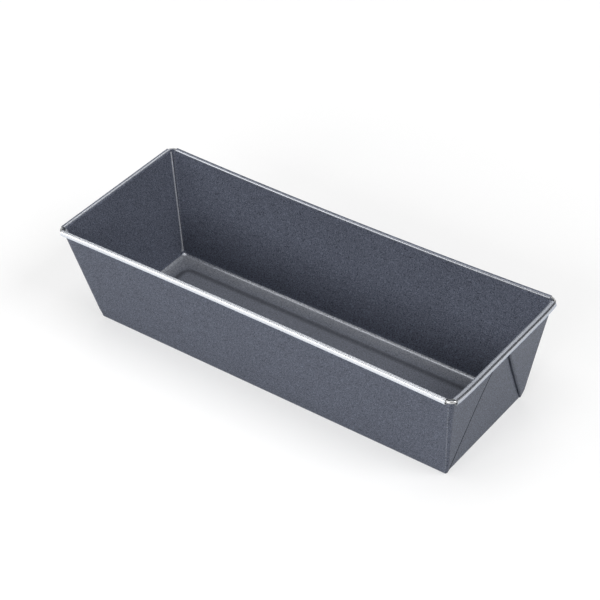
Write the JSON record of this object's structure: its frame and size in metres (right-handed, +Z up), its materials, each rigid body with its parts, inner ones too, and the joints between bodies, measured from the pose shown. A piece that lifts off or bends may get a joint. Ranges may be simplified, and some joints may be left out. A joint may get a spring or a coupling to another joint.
{
  "type": "bread tin",
  "caption": "Long tapered bread tin folded from coated sheet steel, with flat corner gussets on the ends, a raised base panel and a rim rolled round a wire.",
  "frame": {"origin": "middle of the footprint, on the table the tin stands on", "axes": "+X along the tin, +Y across it, +Z up out of its mouth"},
  "size_m": [0.3, 0.114, 0.075],
  "materials": {
    "coated_sheet": "satin dark grey non-stick coating with a faint metallic speckle",
    "bright_wire": "drawn, bright"
  },
  "bodies": {
    "root": {"folded_body": "coated_sheet", "rim_wire": "bright_wire"}
  },
  "joints": []
}
